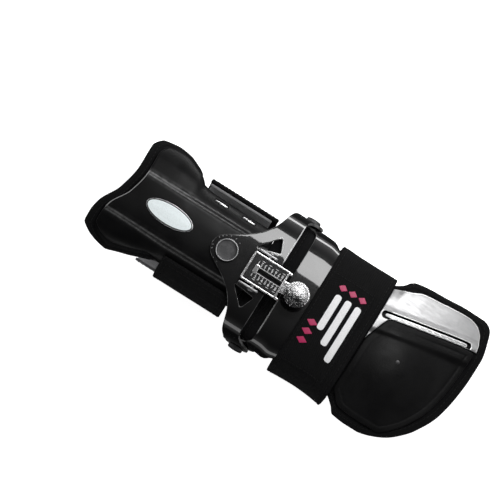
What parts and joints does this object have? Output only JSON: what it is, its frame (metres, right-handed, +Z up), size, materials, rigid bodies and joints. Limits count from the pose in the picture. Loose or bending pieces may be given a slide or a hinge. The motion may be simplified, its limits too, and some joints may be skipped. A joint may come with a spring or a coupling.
{
  "type": "bowling glove",
  "caption": "Right-hand bowling glove with a padded forearm plate, a swivelling wrist yoke with a cup dial and a hinged hand plate, strapped to arm and palm.",
  "frame": {"origin": "bottom centre of the part's box, on the surface that its straps rest on", "axes": "+X from the forearm to the fingers, +Y to the thumb side, +Z up out of the back of the hand"},
  "size_m": [0.2872, 0.1158, 0.0817],
  "materials": {
    "foam_fabric": "black knitted fabric over foam, bound edge",
    "black_paint": "black gloss enamel with soft reflections",
    "steel": "bright steel",
    "webbing": "black woven webbing",
    "grey_fabric": "mid grey knitted fabric",
    "badge_white": "white with a dark rim",
    "dark_metal": "dark grey metal, fine turned marks",
    "chrome": "polished",
    "scale_black": "dark speckled face with pale numbers",
    "satin_steel": "satin, fine grain",
    "cover_leather": "smooth black moulded leather"
  },
  "bodies": {
    "forearm": {"forearm_pad": "foam_fabric", "wrist_liner": "foam_fabric", "forearm_plate": "black_paint", "strap_bar_1": "steel", "strap_bar_2": "steel", "forearm_strap": "webbing", "under_band": "grey_fabric", "badge": "badge_white"},
    "pivot_knob_body": {"pivot_knob": "dark_metal"},
    "yoke_body": {"yoke": "black_paint", "hinge_screw_pinky": "dark_metal", "hinge_screw_thumb": "dark_metal", "dial_pin_pinky": "steel", "dial_pin_thumb": "steel"},
    "dial": {"dial_frame": "chrome", "scale_plate": "scale_black"},
    "thumb_knob_body": {"thumb_knob": "chrome"},
    "slider": {"pointer": "chrome", "adjuster_link": "steel"},
    "hand": {"hand_pad": "foam_fabric", "hand_plate": "black_paint", "hand_band": "webbing", "finger_rail": "steel", "index_plate": "satin_steel", "knuckle_cover": "cover_leather"}
  },
  "joints": [
    {"name": "yoke_swivel", "type": "hinge", "parent": "forearm", "child": "yoke_body", "pos_m": [-0.04821, -0.00044, 0.0666], "axis": [0, 0, 1], "range_deg": [-6, 6]},
    {"name": "pivot_knob_turn", "type": "hinge", "parent": "forearm", "child": "pivot_knob_body", "pos_m": [-0.04821, -0.00044, 0.07], "axis": [0, 0, 1], "continuous": true},
    {"name": "wrist_hinge", "type": "hinge", "parent": "yoke_body", "child": "hand", "pos_m": [-0.00721, -0.00044, 0.036], "axis": [0, 1, 0], "range_deg": [0, 30]},
    {"name": "dial_tilt", "type": "hinge", "parent": "yoke_body", "child": "dial", "pos_m": [-0.02021, -0.00194, 0.0761], "axis": [0, 1, 0], "range_deg": [0, 15.5]},
    {"name": "pointer_slide", "type": "slide", "parent": "dial", "child": "slider", "axis": [1, 0, 0], "range_m": [0, 0.0155]},
    {"name": "thumb_knob_turn", "type": "hinge", "parent": "dial", "child": "thumb_knob_body", "pos_m": [0.00899, -0.00194, 0.0743], "axis": [0, 0, 1], "continuous": true}
  ],
  "couplings": [
    {"joint": "dial_tilt", "follows": "wrist_hinge", "ratio": 0.5},
    {"joint": "pointer_slide", "follows": "wrist_hinge", "m_per_rad": 0.0286}
  ]
}
